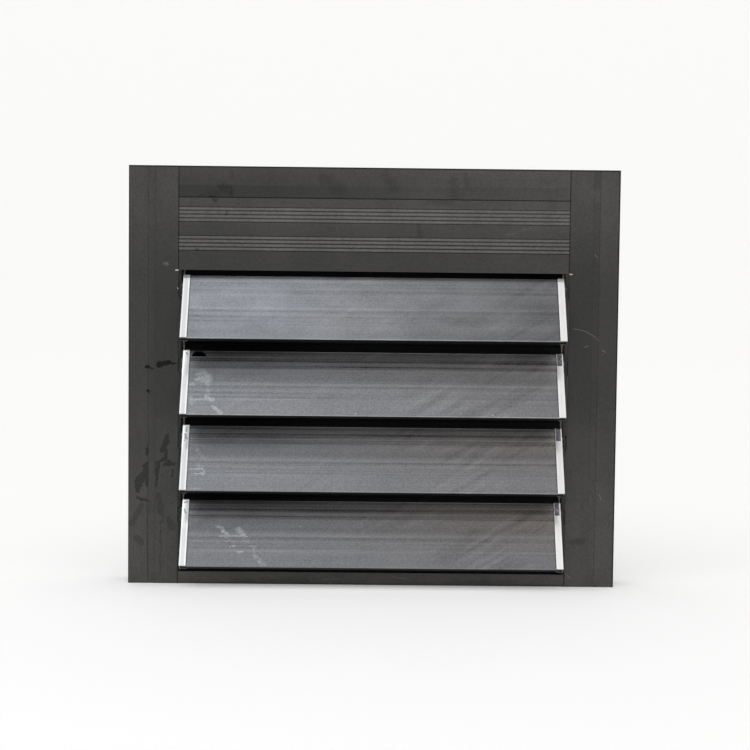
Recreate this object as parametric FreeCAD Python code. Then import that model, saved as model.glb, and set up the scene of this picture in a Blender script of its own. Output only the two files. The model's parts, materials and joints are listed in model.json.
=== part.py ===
import FreeCAD, Part
import math
import os

# Aluminium louvre window, standing on its sill.
# X runs along the blades, Y from the weather side (-Y) to the room side, Z up.
# The origin is at the middle of the sill's underside, half way through the frame's depth.
# All lengths are in millimetres and all angles in degrees.

# Frame
overall_width = 600.0
overall_height = 513.5
frame_depth = 52.0
stile_width = 60.8
frame_wall = 2.0
arris_radius = 0.8
stile_band_width = 7.8
stile_band_inset = 28.3
stile_band_depth = 0.5
jamb_fin_reach = 9.0

# Header: a plain box rail over a thin ribbed board with a return along its top edge
top_rail_height = 38.5
board_height = 88.2
board_wall = 2.6
board_return = 18.0
rib_count = 4
rib_pitch = 4.65
rib_depth = 1.0
upper_ribs_drop = 11.0
rib_bands_spacing = 35.0

# Sill: an open tray with a low front lip and a higher water stop at the back
sill_lip_height = 15.0
sill_stop_height = 24.0
sill_wall = 1.5
sill_floor = 2.0

# Louvre blades: hollow flat sections with a stepped lap flange along the top.
# They hang from pivots near their top edges, and their lower edges swing out past the frame.
blade_count = 4
head_pivot_drop = 25.3
lowest_pivot_height = 84.0
pivot_inset = 13.5
rest_tilt = 58.0
blade_edge_gap = 4.5
blade_thickness = 8.0
blade_wall = 1.4
blade_cells = 3
blade_edge_radius = 1.2
lap_length = 16.0
lap_wall = 2.0
lap_hook_depth = 4.5

# Bright end clips: a channel along each blade end, with a lug behind its top that holds the pivot pin
clip_overhang = 0.8
clip_face_width = 8.3
clip_wall = 1.2
clip_web = 1.5
clip_edge_bevel = 0.4
clip_end_radius = 1.5
lug_radius = 7.0
pivot_drop = 14.0
pivot_setback = 10.0
pin_radius = 4.0
pin_reach = 8.0

# Pivot bushes in the stiles' inner walls
bush_barrel_radius = 6.0
bush_flange_side = 16.0
bush_flange = 3.0
bush_barrel_length = 9.0

# Frame fixings through both walls of each stile
fixing_hole_radius = 3.25
fixing_lower_height = 132.0
fixing_upper_height = 430.0

# Clearances
end_clearance = 5.4
pin_clearance = 0.05
bush_fit = 0.05
fin_notch = 0.3

# Places that follow from the sizes above
front = -frame_depth / 2
opening_width = overall_width - 2 * stile_width
top_rail_bottom = overall_height - top_rail_height
board_bottom = top_rail_bottom - board_height
clip_outer = opening_width / 2 - end_clearance
blade_end = clip_outer - clip_web
pivot_y = front + pivot_inset
blade_pitch = (board_bottom - head_pivot_drop - lowest_pivot_height) / (blade_count - 1)
blade_chord = blade_pitch - blade_edge_gap
clip_chord = blade_chord + 2 * clip_overhang
pivot_chord = clip_chord / 2 - pivot_drop


def vec(x, y, z):
    return FreeCAD.Vector(x, y, z)


def rounded_outline(corners):
    """Closed wire in the XY plane through (a, b, radius) corners with tangent corner arcs."""
    count = len(corners)
    spans = []
    for i in range(count):
        a, b, radius = corners[i]
        here = vec(a, b, 0)
        if radius == 0:
            spans.append((here, None, here))
            continue
        before = vec(corners[i - 1][0], corners[i - 1][1], 0)
        after = vec(corners[(i + 1) % count][0], corners[(i + 1) % count][1], 0)
        back = (before - here).normalize()
        ahead = (after - here).normalize()
        half = back.getAngle(ahead) / 2
        inward = (back + ahead).normalize()
        reach = radius / math.tan(half)
        centre = here + inward * (radius / math.sin(half))
        spans.append((here + back * reach, centre - inward * radius, here + ahead * reach))
    edges = []
    for i in range(count):
        start, middle, stop = spans[i]
        if middle is not None:
            edges.append(Part.Arc(start, middle, stop).toShape())
        following = spans[(i + 1) % count][0]
        edges.append(Part.makeLine(stop, following))
    return Part.Wire(edges)


def rectangle(a0, b0, a1, b1, radius=0.0):
    """Rectangular outline from corner (a0, b0) to corner (a1, b1)."""
    return rounded_outline([(a0, b0, radius), (a1, b0, radius), (a1, b1, radius), (a0, b1, radius)])


def profile_face(outer, holes=()):
    """Flat face inside one outline and outside the outlines of its hollows."""
    face = Part.Face(outer)
    for hole in holes:
        face = face.cut(Part.Face(hole))
    return face


def extrude_along_x(face, x_start, x_end):
    """Bar with a (y, z) section, from one x to the other."""
    bar = face.extrude(vec(0, 0, x_end - x_start))
    bar.rotate(vec(0, 0, 0), vec(1, 1, 1), 120)
    bar.translate(vec(x_start, 0, 0))
    return bar


def pivot_height(number):
    """Height of a blade's pivot, counted from 1 at the top."""
    return lowest_pivot_height + (blade_count - number) * blade_pitch


def seat_blade(shape, number):
    """Hang a shape that is drawn flat about the middle of a blade from its pivot at the resting tilt."""
    seated = shape.copy()
    seated.translate(vec(0, -pivot_chord, pivot_setback))
    seated.rotate(vec(0, 0, 0), vec(1, 0, 0), rest_tilt)
    seated.translate(vec(0, pivot_y, pivot_height(number)))
    return seated


def mirrored(shape):
    return shape.mirror(vec(0, 0, 0), vec(1, 0, 0))


def make_right_stile():
    """Full-height box section with a shallow band down its face and a fin behind the blade ends."""
    x_in = opening_width / 2
    x_out = overall_width / 2
    middle = x_out - stile_band_inset
    band = stile_band_width / 2
    floor = front + stile_band_depth
    outer = rounded_outline([
        (x_in, front, arris_radius),
        (middle - band, front, 0),
        (middle - band, floor, 0),
        (middle + band, floor, 0),
        (middle + band, front, 0),
        (x_out, front, arris_radius),
        (x_out, -front, arris_radius),
        (x_in, -front, arris_radius)])
    hollow = rectangle(x_in + frame_wall, front + stile_band_depth + frame_wall,
                       x_out - frame_wall, -front - frame_wall)
    stile = profile_face(outer, [hollow]).extrude(vec(0, 0, overall_height))
    fin_foot = sill_stop_height + fin_notch
    fin = Part.makeBox(jamb_fin_reach + 2 * arris_radius, frame_wall, top_rail_bottom - fin_notch - fin_foot,
                       vec(x_in - jamb_fin_reach, -front - frame_wall, fin_foot))
    stile = stile.fuse(fin).removeSplitter()
    for number in range(1, blade_count + 1):
        hole = Part.makeCylinder(bush_barrel_radius, 2 * frame_wall,
                                 vec(x_in - frame_wall / 2, pivot_y, pivot_height(number)), vec(1, 0, 0))
        stile = stile.cut(hole)
    for height in (fixing_lower_height, fixing_upper_height):
        hole = Part.makeCylinder(fixing_hole_radius, stile_width + 2 * frame_wall,
                                 vec(x_in - frame_wall, 0, height), vec(1, 0, 0))
        stile = stile.cut(hole)
    return stile


def make_top_rail():
    outer = rectangle(front, top_rail_bottom, -front, overall_height, arris_radius)
    hollow = rectangle(front + frame_wall, top_rail_bottom + frame_wall,
                       -front - frame_wall, overall_height - frame_wall)
    return extrude_along_x(profile_face(outer, [hollow]), -opening_width / 2, opening_width / 2)


def rib_band_edges(top):
    """Edges down one recessed band of rounded ribs, and the height where the band ends."""
    root = front + rib_depth
    edges = [Part.makeLine(vec(front, top, 0), vec(root, top, 0))]
    for i in range(rib_count):
        upper = top - i * rib_pitch
        lower = upper - rib_pitch
        crest = vec(front, (upper + lower) / 2, 0)
        edges.append(Part.Arc(vec(root, upper, 0), crest, vec(root, lower, 0)).toShape())
    end = top - rib_count * rib_pitch
    edges.append(Part.makeLine(vec(root, end, 0), vec(front, end, 0)))
    return edges, end


def make_ribbed_board():
    """Thin board: two bands of ribs on its face, and a return along its top edge to carry it."""
    back = front + board_return
    inner = front + rib_depth + board_wall
    edges = []
    z = top_rail_bottom
    for band in range(2):
        band_top = top_rail_bottom - upper_ribs_drop - band * rib_bands_spacing
        edges.append(Part.makeLine(vec(front, z, 0), vec(front, band_top, 0)))
        band_edges, z = rib_band_edges(band_top)
        edges.extend(band_edges)
    tail = [(front, z), (front, board_bottom), (inner, board_bottom),
            (inner, top_rail_bottom - board_wall), (back, top_rail_bottom - board_wall),
            (back, top_rail_bottom), (front, top_rail_bottom)]
    for start, stop in zip(tail, tail[1:]):
        edges.append(Part.makeLine(vec(start[0], start[1], 0), vec(stop[0], stop[1], 0)))
    face = Part.Face(Part.Wire(edges))
    return extrude_along_x(face, -opening_width / 2, opening_width / 2)


def make_sill():
    """Open tray: front lip, floor and water stop in one section."""
    root = sill_wall / 2
    tip = sill_wall * 0.45
    outline = rounded_outline([
        (front, 0, tip),
        (-front, 0, tip),
        (-front, sill_stop_height, tip),
        (-front - sill_wall, sill_stop_height, tip),
        (-front - sill_wall, sill_floor, root),
        (front + sill_wall, sill_floor, root),
        (front + sill_wall, sill_lip_height, tip),
        (front, sill_lip_height, tip)])
    return extrude_along_x(profile_face(outline), -opening_width / 2, opening_width / 2)


def blade_section():
    """Blade profile about its middle: a along the chord to the top edge, b to the weather face."""
    half = blade_chord / 2
    face = blade_thickness / 2
    tip = half + lap_length
    lap_face = -face + lap_wall
    outer = rounded_outline([
        (-half, -face, blade_edge_radius),
        (tip, -face, lap_wall / 2),
        (tip, -face + lap_hook_depth, 0),
        (tip - lap_wall, -face + lap_hook_depth, 0),
        (tip - lap_wall, lap_face, 0),
        (half, lap_face, 0),
        (half, face, blade_edge_radius),
        (-half, face, blade_edge_radius)])
    cell = (blade_chord - (blade_cells + 1) * blade_wall) / blade_cells
    hollows = []
    for i in range(blade_cells):
        start = -half + blade_wall + i * (cell + blade_wall)
        hollows.append(rectangle(start, -face + blade_wall, start + cell, face - blade_wall))
    return profile_face(outer, hollows)


def make_blade():
    return extrude_along_x(blade_section(), -blade_end, blade_end)


def make_right_clip():
    """Channel over a blade end with its pivot lug and pin, drawn flat about the blade's middle."""
    inner = clip_outer - clip_face_width
    half = clip_chord / 2
    face = blade_thickness / 2 + clip_wall
    side = rounded_outline([(-half, -face, clip_end_radius), (half, -face, clip_end_radius),
                            (half, face, clip_end_radius), (-half, face, clip_end_radius)])
    channel = extrude_along_x(profile_face(side), inner, clip_outer)
    long_edges = [edge for edge in channel.Edges
                  if edge.Length > clip_chord / 2 and edge.CenterOfMass.x > clip_outer - clip_web / 2]
    channel = channel.makeChamfer(clip_edge_bevel, long_edges)
    slot = Part.makeBox(clip_face_width - clip_web, clip_chord, blade_thickness,
                        vec(inner, -half, -blade_thickness / 2))
    channel = channel.cut(slot)
    web_x = clip_outer - clip_web
    lug = Part.makeCylinder(lug_radius, clip_web, vec(web_x, pivot_chord, -pivot_setback), vec(1, 0, 0))
    neck = Part.makeBox(clip_web, 2 * lug_radius, pivot_setback,
                        vec(web_x, pivot_chord - lug_radius, -pivot_setback))
    pin = Part.makeCylinder(pin_radius, end_clearance + pin_reach,
                            vec(clip_outer, pivot_chord, -pivot_setback), vec(1, 0, 0))
    return channel.fuse([neck, lug, pin]).removeSplitter()


def make_right_bush(number):
    """Bush for a pivot pin: its barrel sits in the stile's inner wall, its square flange on the reveal."""
    x_in = opening_width / 2
    along = vec(1, 0, 0)
    half = bush_flange_side / 2
    flange = Part.makeBox(bush_flange, bush_flange_side, bush_flange_side,
                          vec(x_in - bush_flange, -half, -half))
    barrel = Part.makeCylinder(bush_barrel_radius - bush_fit, bush_barrel_length, vec(x_in, 0, 0), along)
    bore = Part.makeCylinder(pin_radius + pin_clearance, bush_flange + bush_barrel_length,
                             vec(x_in - bush_flange, 0, 0), along)
    bush = flange.fuse(barrel).cut(bore)
    bush.translate(vec(0, pivot_y, pivot_height(number)))
    return bush


def make_parts():
    right_stile = make_right_stile()
    parts = {
        "left_stile": mirrored(right_stile),
        "right_stile": right_stile,
        "top_rail": make_top_rail(),
        "ribbed_board": make_ribbed_board(),
        "sill": make_sill()}
    blade = make_blade()
    right_clip = make_right_clip()
    left_clip = mirrored(right_clip)
    for number in range(1, blade_count + 1):
        right_bush = make_right_bush(number)
        parts["blade_%d" % number] = seat_blade(blade, number)
        parts["left_clip_%d" % number] = seat_blade(left_clip, number)
        parts["right_clip_%d" % number] = seat_blade(right_clip, number)
        parts["left_bush_%d" % number] = mirrored(right_bush)
        parts["right_bush_%d" % number] = right_bush
    return parts


def single_solid(name, shape):
    """The one valid solid that a piece is made of."""
    if len(shape.Solids) != 1 or not shape.isValid():
        raise ValueError("%s is not one valid solid" % name)
    return shape.Solids[0]


os.makedirs("parts", exist_ok=True)
for part_name, part_shape in make_parts().items():
    single_solid(part_name, part_shape).exportStep(os.path.join("parts", part_name + ".step"))
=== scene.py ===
"""Dark aluminium louvre window: its finishes, pile strips and frame screws, in a plain studio."""
import json
import math
from collections import namedtuple

import bmesh
import bpy
from mathutils import Matrix, Vector


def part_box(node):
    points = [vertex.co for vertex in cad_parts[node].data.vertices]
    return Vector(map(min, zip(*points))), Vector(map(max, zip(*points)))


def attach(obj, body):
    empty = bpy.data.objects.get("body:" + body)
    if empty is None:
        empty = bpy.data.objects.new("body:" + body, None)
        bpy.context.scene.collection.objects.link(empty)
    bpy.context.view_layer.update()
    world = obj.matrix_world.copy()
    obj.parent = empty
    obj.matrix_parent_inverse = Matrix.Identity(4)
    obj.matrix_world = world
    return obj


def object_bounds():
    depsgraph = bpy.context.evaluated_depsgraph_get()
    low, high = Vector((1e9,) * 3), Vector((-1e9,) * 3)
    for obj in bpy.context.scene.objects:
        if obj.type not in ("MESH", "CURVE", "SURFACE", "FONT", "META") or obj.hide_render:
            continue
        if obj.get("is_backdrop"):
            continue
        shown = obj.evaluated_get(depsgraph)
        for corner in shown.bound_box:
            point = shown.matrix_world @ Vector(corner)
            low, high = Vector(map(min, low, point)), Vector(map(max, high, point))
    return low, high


bl_info = {
    "name": "Louvre Window Finishes",
    "version": (1, 0, 0),
    "blender": (4, 5, 0),
    "location": "View3D > Sidebar > Louvre Window",
    "description": "Coats, anodises, seals and screws together a dark aluminium louvre window in a studio",
    "category": "Object",
}

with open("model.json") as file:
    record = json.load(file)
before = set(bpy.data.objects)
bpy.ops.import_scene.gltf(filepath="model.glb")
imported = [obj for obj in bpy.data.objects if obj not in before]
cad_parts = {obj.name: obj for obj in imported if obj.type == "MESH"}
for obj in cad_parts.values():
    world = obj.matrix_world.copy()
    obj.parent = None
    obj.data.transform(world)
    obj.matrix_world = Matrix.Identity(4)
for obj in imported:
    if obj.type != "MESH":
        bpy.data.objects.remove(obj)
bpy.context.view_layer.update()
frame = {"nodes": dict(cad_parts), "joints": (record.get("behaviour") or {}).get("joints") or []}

BLADES = (1, 2, 3, 4)
SIDES = {"left": -1.0, "right": 1.0}
MM = 0.001

# A blade at rest: its tilt, and its middle from its pivot down the chord and out to the weather side
REST_TILT = 58.0
MIDDLE_DOWN = 30.8 * MM
MIDDLE_OUT = 10.0 * MM


# Settings

class CoatSettings(bpy.types.PropertyGroup):
    """Satin coat of the stiles, the header and the sill"""
    colour: bpy.props.FloatVectorProperty(
        name="Colour", description="Satin coat where it is neither rubbed nor oily",
        subtype="COLOR", size=3, min=0.0, max=1.0, default=(0.0212, 0.0203, 0.0188))
    rubbed: bpy.props.FloatVectorProperty(
        name="Rubbed colour", description="Coat that handling has rubbed lighter",
        subtype="COLOR", size=3, min=0.0, max=1.0, default=(0.0585, 0.0560, 0.0530))
    # Also the colour of the painted shade in the frame's joints and along its arrises
    oil_and_shade: bpy.props.FloatVectorProperty(
        name="Oil colour", description="Oily runs and finger smudges",
        subtype="COLOR", size=3, min=0.0, max=1.0, default=(0.0075, 0.0084, 0.0080))
    roughness: bpy.props.FloatProperty(
        name="Roughness", description="How dull the satin coat is",
        subtype="FACTOR", min=0.0, max=1.0, default=0.46)


class BladeSettings(bpy.types.PropertyGroup):
    """Anodised louvre blades"""
    colour: bpy.props.FloatVectorProperty(
        name="Colour", description="Reflection colour of the anodised metal",
        subtype="COLOR", size=3, min=0.0, max=1.0, default=(0.197, 0.1965, 0.2025))
    # Colour of the painted shade on the lap flanges, the lower edges and beside the clip lips
    edge_shade: bpy.props.FloatVectorProperty(
        name="Soot colour", description="Sooted metal at the lap flanges",
        subtype="COLOR", size=3, min=0.0, max=1.0, default=(0.016, 0.017, 0.017))
    chalk: bpy.props.FloatVectorProperty(
        name="Chalk colour", description="Dried white splashes",
        subtype="COLOR", size=3, min=0.0, max=1.0, default=(0.62, 0.64, 0.65))
    roughness: bpy.props.FloatProperty(
        name="Roughness", description="How blurred the blades' reflections are",
        subtype="FACTOR", min=0.0, max=1.0, default=0.42)


class HardwareSettings(bpy.types.PropertyGroup):
    """Clips, bushes, pile strips and screws"""
    clip: bpy.props.FloatVectorProperty(
        name="Clip colour", description="Polished end clips",
        subtype="COLOR", size=3, min=0.0, max=1.0, default=(0.86, 0.85, 0.835))
    bush: bpy.props.FloatVectorProperty(
        name="Bush colour", description="Moulded pivot bushes",
        subtype="COLOR", size=3, min=0.0, max=1.0, default=(0.034, 0.033, 0.031))
    pile: bpy.props.FloatVectorProperty(
        name="Pile colour", description="Fibres of the strips behind the blade ends",
        subtype="COLOR", size=3, min=0.0, max=1.0, default=(0.62, 0.55, 0.42))
    pile_width: bpy.props.FloatProperty(
        name="Pile width", description="Width of the strips behind the blade ends",
        subtype="DISTANCE", unit="LENGTH", min=0.001, max=0.006, default=0.0024)
    screw: bpy.props.FloatVectorProperty(
        name="Screw colour", description="Dulled zinc of the frame screws",
        subtype="COLOR", size=3, min=0.0, max=1.0, default=(0.52, 0.52, 0.50))
    screw_head: bpy.props.FloatProperty(
        name="Screw head", description="Diameter of the countersunk frame screws' heads",
        subtype="DISTANCE", unit="LENGTH", min=0.004, max=0.012, default=0.0082)


class StageSettings(bpy.types.PropertyGroup):
    """Studio floor, air and camera"""
    paper: bpy.props.FloatVectorProperty(
        name="Paper colour", description="Pale paper of the floor and backdrop",
        subtype="COLOR", size=3, min=0.0, max=1.0, default=(0.82, 0.82, 0.81))
    air: bpy.props.FloatProperty(
        name="Air light", description="Strength of the even light from all sides",
        min=0.0, max=3.0, default=0.89)
    lens: bpy.props.FloatProperty(
        name="Lens", description="Focal length of the camera on a 36 mm sensor",
        subtype="DISTANCE_CAMERA", unit="CAMERA", min=20.0, max=200.0, default=86.2)


class LouvreWindowSettings(bpy.types.PropertyGroup):
    """All settings of the louvre window"""
    coat: bpy.props.PointerProperty(name="Coat", description="Satin coat of the frame", type=CoatSettings)
    blades: bpy.props.PointerProperty(name="Blades", description="Anodised blades", type=BladeSettings)
    hardware: bpy.props.PointerProperty(name="Hardware", description="Small parts", type=HardwareSettings)
    stage: bpy.props.PointerProperty(name="Stage", description="Studio and camera", type=StageSettings)


def settings():
    """Settings of the scene's louvre window."""
    return bpy.context.scene.louvre_window


# Shader expressions

class Value:
    """One output of a node; arithmetic on it adds Math nodes."""

    def __init__(self, finish, socket):
        self.finish = finish
        self.socket = socket

    def __add__(self, other):
        return self.finish.maths("ADD", self, other)

    __radd__ = __add__

    def __sub__(self, other):
        return self.finish.maths("SUBTRACT", self, other)

    def __rsub__(self, other):
        return self.finish.maths("SUBTRACT", other, self)

    def __mul__(self, other):
        return self.finish.maths("MULTIPLY", self, other)

    __rmul__ = __mul__

    def __truediv__(self, other):
        return self.finish.maths("DIVIDE", self, other)

    def __rtruediv__(self, other):
        return self.finish.maths("DIVIDE", other, self)

    def __pow__(self, other):
        return self.finish.maths("POWER", self, other)

    def __abs__(self):
        return self.finish.maths("ABSOLUTE", self)


class Finish:
    """A surface finish, written as expressions on the piece's own coordinates."""

    def __init__(self, name):
        self.material = bpy.data.materials.new(name)
        self.material.use_nodes = True
        self.tree = self.material.node_tree
        self.tree.nodes.clear()
        self.point = self.node("ShaderNodeTexCoord", output="Object")
        self.x, self.y, self.z = [
            self.node("ShaderNodeSeparateXYZ", sockets={"Vector": self.point}, output=axis) for axis in "XYZ"]

    def node(self, kind, options=None, sockets=None, output=0):
        """Add a node: first its options, then the values or links of its sockets."""
        made = self.tree.nodes.new(kind)
        for key, option in (options or {}).items():
            setattr(made, key, option)
        inputs = [socket for socket in made.inputs if socket.enabled]
        for key, given in (sockets or {}).items():
            socket = inputs[key] if isinstance(key, int) else next(s for s in inputs if s.name == key)
            if isinstance(given, Value):
                self.tree.links.new(given.socket, socket)
            else:
                socket.default_value = given
        outputs = [socket for socket in made.outputs if socket.enabled]
        if not outputs:
            return None
        return Value(self, outputs[output] if isinstance(output, int) else made.outputs[output])

    def maths(self, operation, first, second=None):
        """Result of a Math node on one value or two."""
        sockets = {0: first} if second is None else {0: first, 1: second}
        return self.node("ShaderNodeMath", {"operation": operation}, sockets)

    def highest(self, values):
        """Largest of several values."""
        found = values[0]
        for other in values[1:]:
            found = self.maths("MAXIMUM", found, other)
        return found

    def ease(self, value, low, high):
        """0 at low, 1 at high, smooth between."""
        return self.node("ShaderNodeMapRange", {"interpolation_type": "SMOOTHSTEP"},
                         {"Value": value, "From Min": low, "From Max": high})

    def fall(self, value, low, high):
        """1 at low, 0 at high, smooth between."""
        return 1.0 - self.ease(value, low, high)

    def belt(self, value, low, high, soft):
        """1 between low and high, with soft ends."""
        return self.ease(value, low - soft, low + soft) * self.fall(value, high - soft, high + soft)

    def vector(self, x, y, z):
        """Vector of three values."""
        return self.node("ShaderNodeCombineXYZ", sockets={"X": x, "Y": y, "Z": z})

    def noise(self, vector, scale=1.0, detail=3.0, roughness=0.55):
        """Noise about 0, mostly between -1 and 1."""
        found = self.node("ShaderNodeTexNoise", {"noise_dimensions": "3D"},
                          {"Vector": vector, "Scale": scale, "Detail": detail, "Roughness": roughness})
        return (found - 0.5) * 5.0

    def blend(self, under, over, amount):
        """Colour that goes from one to the other."""
        return self.node("ShaderNodeMix", {"data_type": "RGBA"}, {"Factor": amount, "A": under, "B": over})

    def shade(self, colour, gain):
        """Colour times a number."""
        return self.node("ShaderNodeVectorMath", {"operation": "SCALE"}, {"Vector": colour, "Scale": gain})

    def drifted(self, u, v, reach, size):
        """Two coordinates that wander by a reach over a size, so that marks on them turn irregular."""
        there = self.vector(u / size, v / size, 0.0)
        across = self.noise(there, detail=4.0, roughness=0.6)
        along = self.noise(self.vector(v / size, u / size, 7.0), detail=4.0, roughness=0.6)
        return u + across * reach, v + along * reach

    def smear(self, u, v, mark, ragged, soft):
        """Mask of a mark that runs between two points, each (u, v, half width) in millimetres."""
        u0, v0, half0, u1, v1, half1 = [size * MM for size in mark]
        du = u1 - u0
        dv = v1 - v0
        run = (u - u0) * du + (v - v0) * dv
        along = self.node("ShaderNodeMath", {"operation": "DIVIDE", "use_clamp": True},
                          {0: run, 1: du * du + dv * dv})
        off_u = u - u0 - along * du
        off_v = v - v0 - along * dv
        far = (off_u * off_u + off_v * off_v) ** 0.5 / (along * (half1 - half0) + half0)
        return self.fall(far + ragged, 1.0 - soft, 1.0 + soft)

    def smears(self, place, marks, ragged, soft):
        """Mask of several marks on one pair of coordinates."""
        return self.highest([self.smear(place[0], place[1], mark, ragged, soft) for mark in marks])

    def finished(self, sockets, height=None, strength=0.1, distance=0.5 * MM):
        """Close the graph with the surface shader, and a bump where there is a height."""
        if height is not None:
            sockets["Normal"] = self.node("ShaderNodeBump", None,
                                          {"Strength": strength, "Distance": distance, "Height": height})
        surface = self.node("ShaderNodeBsdfPrincipled", None, sockets)
        self.node("ShaderNodeOutputMaterial", None, {"Surface": surface})
        return self.material


def dress(name, material):
    """Give a node of the frame its finish."""
    piece = frame["nodes"][name]
    if not piece.material_slots:
        piece.data.materials.append(material)
    for place in piece.material_slots:
        place.material = material


def among(geom, kind):
    """Items of one kind in the result of a mesh operator."""
    return [item for item in geom if isinstance(item, kind)]


def make_object(name, bm, material):
    """Put an object of a finished mesh into the scene."""
    mesh = bpy.data.meshes.new(name)
    bm.to_mesh(mesh)
    bm.free()
    mesh.materials.append(material)
    made = bpy.data.objects.new(name, mesh)
    bpy.context.scene.collection.objects.link(made)
    return made


def add_piece(name, bm, material):
    """Make a piece of a finished mesh, which rides with the window's frame."""
    piece = make_object(name, bm, material)
    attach(piece, "frame")


# Finishes of the frame, with marks as (x, z, half width) at both ends, in millimetres

# One layer over a finish: its colour, where it lies, and how much duller and more metallic it is
Mark = namedtuple("Mark", "tint mask dulling film", defaults=(0.0, 0.0))

OIL_FILM = 0.85
BARE_FILM = 1.0
# Strength of the painted shade in the joints and along the arrises
JOINT_AND_ARRIS_SHADE = 0.80
WET = -0.05

DARK = (0.0080, 0.0078, 0.0072)
DUST = (0.135, 0.131, 0.125)
SCRATCH = (0.26, 0.25, 0.22)
RIB_CREST_HIGHLIGHT = (0.118, 0.113, 0.108)
BARE_METAL = (0.70, 0.66, 0.58)
# Painted shade on the left reveal, and painted light on the right one
LEFT_REVEAL_SHADE = (0.0060, 0.0060, 0.0056)
RIGHT_REVEAL_LIGHT = (0.0260, 0.0250, 0.0220)

# Distances from the middle of the window, and the width of a stile's rim line
BAND_MIDDLE = 271.7 * MM
REVEAL_INNER = 239.5 * MM
RIM_WIDTH = 0.8 * MM

LEFT_STILE_RUNS = [
    (-274, 183, 0.9, -275, 170, 1.1), (-276, 169, 1.2, -277, 161, 2.8),
    (-252, 184, 1.8, -253, 176, 3.9), (-253, 176, 3.9, -258, 165, 3.2),
    (-254, 166, 2.4, -254, 152, 1.2), (-280, 145, 2.4, -274, 150, 1.5),
    (-266, 149, 1.6, -256, 154, 2.0), (-263, 148, 2.8, -264, 138, 2.0),
    (-265, 140, 2.0, -265, 121, 1.3), (-255, 147, 2.2, -250, 149, 3.7),
    (-250, 149, 3.7, -244, 148, 2.0), (-245, 141, 0.9, -246, 132, 1.2),
    (-277, 143, 2.7, -284, 130, 5.1), (-287, 127, 5.3, -288, 114, 2.4),
    (-278, 138, 3.7, -276, 122, 2.7), (-289, 106, 1.7, -275, 102, 1.8)]
LEFT_STILE_DRIED_RUNS = [
    (-283, 97, 3.2, -296, 73, 3.7), (-290, 57, 3.1, -284, 50, 3.7),
    (-263, 110, 3.2, -260, 88, 3.7), (-257, 97, 1.5, -257, 76, 1.1),
    (-251, 81, 2.7, -246, 71, 4.9), (-277, 99, 0.8, -276, 10, 0.8),
    (-260, 76, 0.8, -260, 10, 0.8)]
LEFT_STILE_HANDPRINT = [
    (-264, 270, 2.7, -258, 272, 3.9), (-258, 272, 3.9, -249, 273, 2.2),
    (-250, 272, 1.2, -239, 272, 0.7), (-278, 268, 2.1, -275, 267, 1.5),
    (-272, 266, 1.2, -270, 265, 0.7), (-276, 238, 2.0, -275, 238, 1.6)]
RIGHT_STILE_SCRATCHES = [
    (245, 319.6, 0.22, 252, 318.6, 0.26), (252, 318.6, 0.26, 260, 316.6, 0.26),
    (260, 316.6, 0.26, 269, 312.0, 0.26), (269, 312.0, 0.26, 276.5, 305.5, 0.20),
    (259, 297, 0.3, 264, 299, 0.3), (281, 294, 0.4, 285, 291, 0.3),
    (270, 411, 0.3, 273, 407, 0.2), (281, 115, 0.4, 283, 109, 0.3),
    (243, 14, 0.3, 247, 10, 0.3)]
LEFT_STILE_DUST = [(-256.0, 394.4, 1.6, -253.4, 393.6, 2.2)]
RIGHT_STILE_DUST = [(270, 486, 4.0, 272, 479, 4.0)]
RIGHT_STILE_RUB = [(246.5, 55.5, 3.0, 261.0, 56.5, 4.2)]
LEFT_BARE_SPOTS = [(-242.6, 386.3, 0.7, -239.6, 386.3, 0.7), (-240.2, 364.6, 0.5, -239.4, 363.6, 0.5)]
RIGHT_BARE_SPOTS = [(239.6, 386.3, 0.7, 242.4, 386.3, 0.6)]
RAIL_SMUDGES = [
    (-176, 490, 1.4, -175, 480, 1.5), (-189, 489, 3.2, -182, 488, 3.4),
    (-200, 476, 1.6, -194, 476, 1.2), (-214, 477, 0.9, -209, 479, 0.8)]
RAIL_BLOTS = [
    (-174, 506, 1.5, -173, 498, 2.0), (-202, 480, 4.5, -180, 482, 6.0),
    (96, 500, 5.5, 98, 482, 8.5), (110, 506, 3.0, 112, 493, 5.0),
    (-63, 499, 6.0, -44, 486, 9.0), (12, 505, 5.0, 22, 490, 7.0)]
BOARD_SMUDGES = [
    (-196, 473, 1.7, -193, 472, 1.5), (-168, 468, 1.2, -166, 468, 1.0),
    (-179, 458, 1.2, -182, 454, 1.5), (-217, 412, 2.0, -214, 412, 1.4)]
BOARD_BLOTS = [(54, 444, 2.6, 55, 430, 2.8), (66, 474, 4.0, 92, 472, 3.0)]
BOARD_WIPE = [(160.6, 433.5, 1.8, 202.0, 444.9, 1.5)]
SILL_SCRATCHES = [(28, 10, 0.3, 45, 8, 0.25), (-60, 6, 0.25, -40, 7.5, 0.25)]
SILL_DAMP = [(-170, 4, 3, -80, 4, 4), (120, 5, 3, 180, 5, 3)]


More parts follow.
